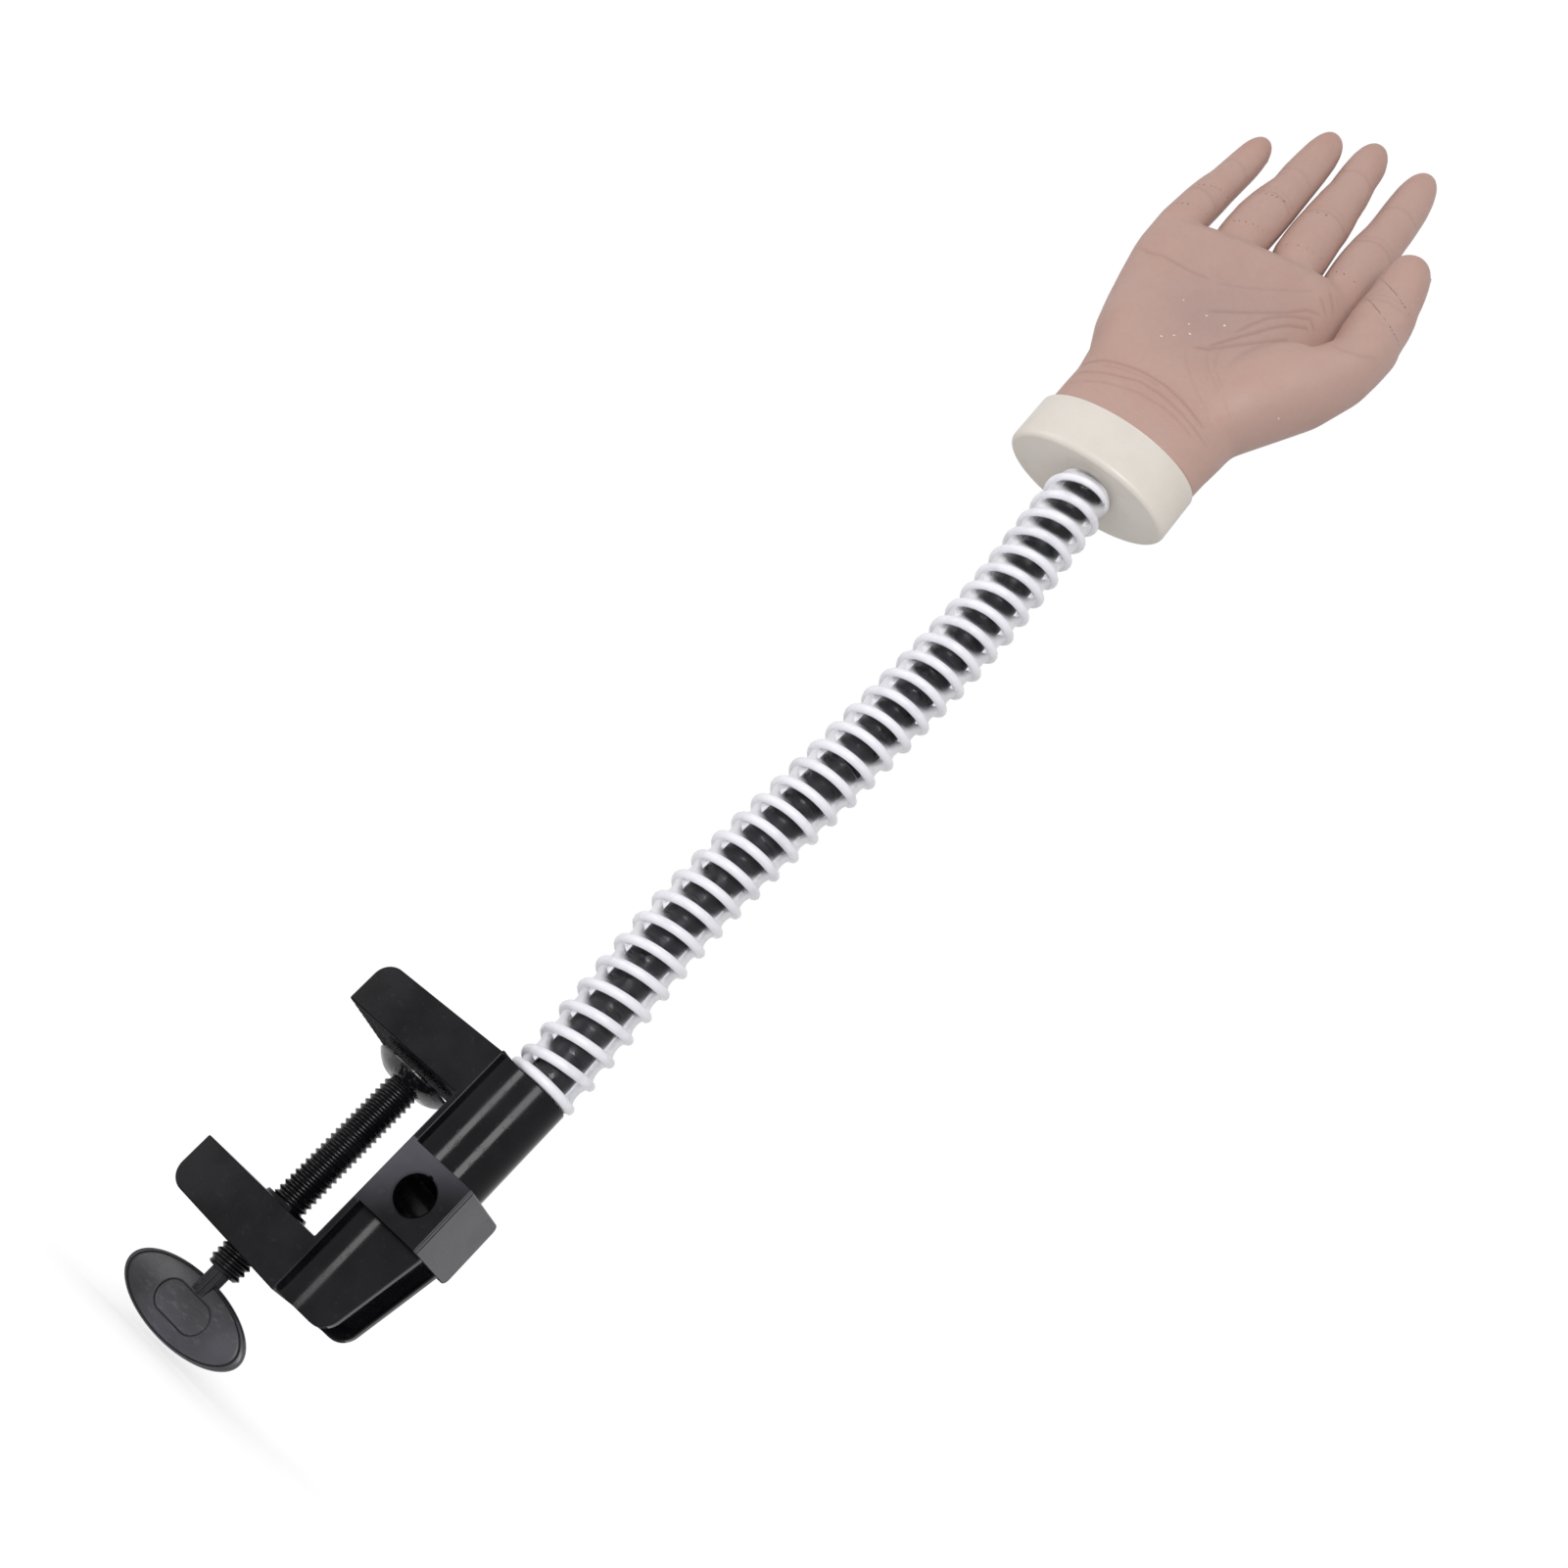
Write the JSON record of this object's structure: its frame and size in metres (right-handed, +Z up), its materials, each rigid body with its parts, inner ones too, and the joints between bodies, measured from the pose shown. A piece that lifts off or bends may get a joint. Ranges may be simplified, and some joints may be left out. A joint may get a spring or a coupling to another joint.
{
  "type": "nail practice hand",
  "caption": "Soft silicone practice hand with jointed fingers on a bendable ribbed neck that stands in a screw table clamp.",
  "frame": {"origin": "where the clamp screw's axis meets the gripping face of the upper jaw", "axes": "+Z up along the screw, jaws open towards -X, palm looks towards -Y"},
  "size_m": [0.1014, 0.0398, 0.5835],
  "materials": {
    "clamp": "glossy moulded black",
    "screw": "black, turned thread",
    "handle": "glossy moulded black",
    "pad": "satin black",
    "rivet": "plain",
    "ferrule": "turned",
    "core": "black wound gooseneck",
    "sleeve": "clear flexible tube",
    "spiral": "white flexible rib",
    "plug": "satin cream",
    "armature": "plain white",
    "pins": "plain",
    "skin": "soft silicone with fine creases",
    "nails": "satin, translucent look"
  },
  "bodies": {
    "clamp": {"clamp_frame": "clamp"},
    "pad": {"pressure_pad": "pad"},
    "screw": {"clamp_screw": "screw", "screw_handle": "handle", "pad_rivet": "rivet"},
    "neck_foot": {"lower_ferrule": "ferrule"},
    "neck": {"neck_core": "core", "hose_sleeve": "sleeve", "hose_spiral": "spiral"},
    "neck_top": {"upper_ferrule": "ferrule", "plug_nut": "ferrule"},
    "palm": {"wrist_plug": "plug", "palm_plate": "armature", "palm_skin": "skin"},
    "index_root": {"index_proximal_skin": "skin", "index_proximal_bone": "armature", "index_knuckle_pin": "pins"},
    "index_tip": {"index_distal_skin": "skin", "index_distal_bone": "armature", "index_middle_pin": "pins", "index_nail": "nails"},
    "middle_root": {"middle_proximal_skin": "skin", "middle_proximal_bone": "armature", "middle_knuckle_pin": "pins"},
    "middle_tip": {"middle_distal_skin": "skin", "middle_distal_bone": "armature", "middle_middle_pin": "pins", "middle_nail": "nails"},
    "ring_root": {"ring_proximal_skin": "skin", "ring_proximal_bone": "armature", "ring_knuckle_pin": "pins"},
    "ring_tip": {"ring_distal_skin": "skin", "ring_distal_bone": "armature", "ring_middle_pin": "pins", "ring_nail": "nails"},
    "little_root": {"little_proximal_skin": "skin", "little_proximal_bone": "armature", "little_knuckle_pin": "pins"},
    "little_tip": {"little_distal_skin": "skin", "little_distal_bone": "armature", "little_middle_pin": "pins", "little_nail": "nails"},
    "thumb_root": {"thumb_proximal_skin": "skin", "thumb_proximal_bone": "armature", "thumb_knuckle_pin": "pins"},
    "thumb_tip": {"thumb_distal_skin": "skin", "thumb_distal_bone": "armature", "thumb_middle_pin": "pins", "thumb_nail": "nails"}
  },
  "joints": [
    {"name": "screw_travel", "type": "slide", "parent": "clamp", "child": "pad", "axis": [0, 0, 1], "range_m": [-0.04, 0.0017]},
    {"name": "screw_turn", "type": "hinge", "parent": "pad", "child": "screw", "pos_m": [0, 0, 0], "axis": [0, 0, 1], "range_deg": [-8100, 400]},
    {"name": "neck_swivel", "type": "hinge", "parent": "clamp", "child": "neck_foot", "pos_m": [0.0301, 0, 0.0173], "axis": [0, 0, 1], "range_deg": [-180, 180]},
    {"name": "neck_bend_lower", "type": "hinge", "parent": "neck_foot", "child": "neck", "pos_m": [0.02556, 0, 0.08362], "axis": [0, 1, 0], "range_deg": [-50, 50], "deforming": ["neck_core", "hose_sleeve", "hose_spiral"]},
    {"name": "neck_bend_upper", "type": "hinge", "parent": "neck", "child": "neck_top", "pos_m": [0.02849, 0, 0.21628], "axis": [0, 1, 0], "range_deg": [-50, 50], "deforming": ["neck_core", "hose_sleeve", "hose_spiral"]},
    {"name": "hand_swivel", "type": "hinge", "parent": "neck_top", "child": "palm", "pos_m": [0.023, 0, 0.2826], "axis": [-0.0888, 0.048, 0.9949], "range_deg": [-180, 180]},
    {"name": "index_knuckle", "type": "hinge", "parent": "palm", "child": "index_root", "pos_m": [0.03839, 0.01245, 0.41404], "axis": [0.9757, 0.1903, 0.1086], "range_deg": [-8, 35]},
    {"name": "index_middle_joint", "type": "hinge", "parent": "index_root", "child": "index_tip", "pos_m": [0.03463, 0.01379, 0.44548], "axis": [0.9757, 0.1903, 0.1086], "range_deg": [-8, 35]},
    {"name": "middle_knuckle", "type": "hinge", "parent": "palm", "child": "middle_root", "pos_m": [0.01919, 0.00868, 0.4115], "axis": [0.9729, 0.1911, 0.13], "range_deg": [-8, 35]},
    {"name": "middle_middle_joint", "type": "hinge", "parent": "middle_root", "child": "middle_tip", "pos_m": [0.01471, 0.0099, 0.44324], "axis": [0.9729, 0.1911, 0.13], "range_deg": [-8, 35]},
    {"name": "ring_knuckle", "type": "hinge", "parent": "palm", "child": "ring_root", "pos_m": [-0.00151, 0.00436, 0.40484], "axis": [0.9813, 0.1871, 0.0441], "range_deg": [-8, 35]},
    {"name": "ring_middle_joint", "type": "hinge", "parent": "ring_root", "child": "ring_tip", "pos_m": [-0.00321, 0.00604, 0.43556], "axis": [0.9813, 0.1871, 0.0441], "range_deg": [-8, 35]},
    {"name": "little_knuckle", "type": "hinge", "parent": "palm", "child": "little_root", "pos_m": [-0.02134, 0.00008, 0.39624], "axis": [0.9829, 0.1839, -0.0101], "range_deg": [-8, 35]},
    {"name": "little_middle_joint", "type": "hinge", "parent": "little_root", "child": "little_tip", "pos_m": [-0.02139, 0.00168, 0.42106], "axis": [0.9829, 0.1839, -0.0101], "range_deg": [-8, 35]},
    {"name": "thumb_knuckle", "type": "hinge", "parent": "palm", "child": "thumb_root", "pos_m": [0.06118, -0.00009, 0.39055], "axis": [0.9119, -0.3916, 0.1225], "range_deg": [-12, 16]},
    {"name": "thumb_middle_joint", "type": "hinge", "parent": "thumb_root", "child": "thumb_tip", "pos_m": [0.05867, -0.0005, 0.4079], "axis": [0.9119, -0.3916, 0.1225], "range_deg": [-12, 16]}
  ],
  "couplings": [
    {"joint": "screw_turn", "follows": "screw_travel", "rad_per_m": 3490.7}
  ]
}
